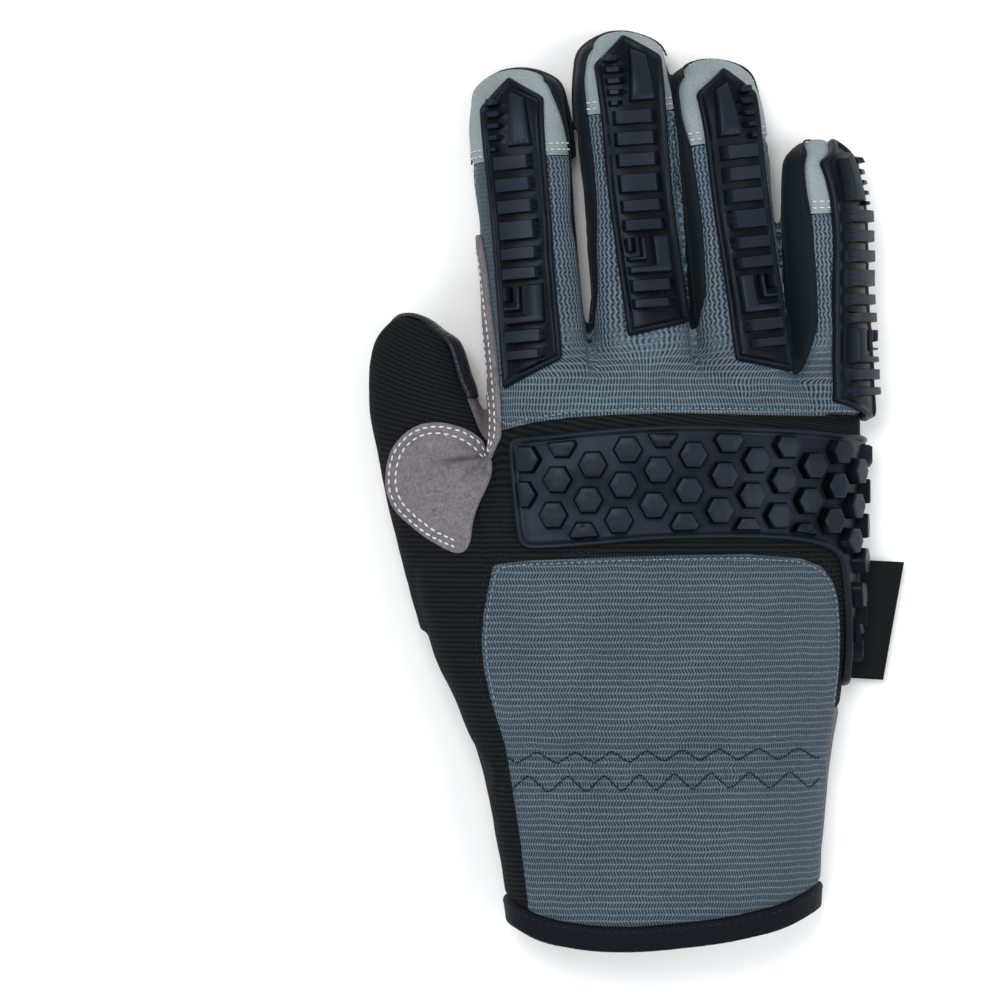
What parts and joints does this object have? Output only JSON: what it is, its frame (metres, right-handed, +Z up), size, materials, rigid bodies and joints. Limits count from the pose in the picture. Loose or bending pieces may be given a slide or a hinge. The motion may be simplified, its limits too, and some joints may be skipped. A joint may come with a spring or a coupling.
{
  "type": "mechanic glove",
  "caption": "Five-finger work glove for the right hand with knit back, suede palm, raised rubber guards over knuckles and finger backs, thumb patch and bound cuff",
  "frame": {"origin": "Centre of the footprint, on the surface that the glove lies on palm down", "axes": "+Y from the cuff to the middle fingertip, +X from the thumb to the little finger, +Z up out of the back of the hand"},
  "size_m": [0.151, 0.2634, 0.043],
  "materials": {
    "suede": "synthetic suede, matt grey",
    "knit": "blue-grey stretch knit",
    "rib": "black ribbed knit",
    "stretch": "dark slate stretch cloth",
    "cap": "smooth grey-green stretch cloth",
    "patch": "light grey synthetic suede",
    "leather": "dark embossed synthetic leather",
    "rubber": "moulded thermoplastic rubber, satin",
    "binding": "dark woven tape",
    "label": "plain woven label"
  },
  "bodies": {
    "root": {"palm_suede": "suede", "knuckle_knit": "knit", "wrist_knit": "knit", "knuckle_strip": "rib", "side_knit": "rib", "fourchette_index_middle": "stretch", "fourchette_middle_ring": "stretch", "fourchette_ring_little": "stretch", "cap_index": "cap", "cap_middle": "cap", "cap_ring": "cap", "cap_little": "cap", "thumb_saddle": "patch", "index_saddle": "patch", "index_tip_patch": "leather", "middle_tip_patch": "leather", "thumb_patch": "leather", "palm_pad": "leather", "heel_pad": "leather", "knuckle_guard": "rubber", "guard_index": "rubber", "guard_middle": "rubber", "guard_ring": "rubber", "guard_little": "rubber", "cuff_binding": "binding", "side_label": "label"}
  },
  "joints": []
}
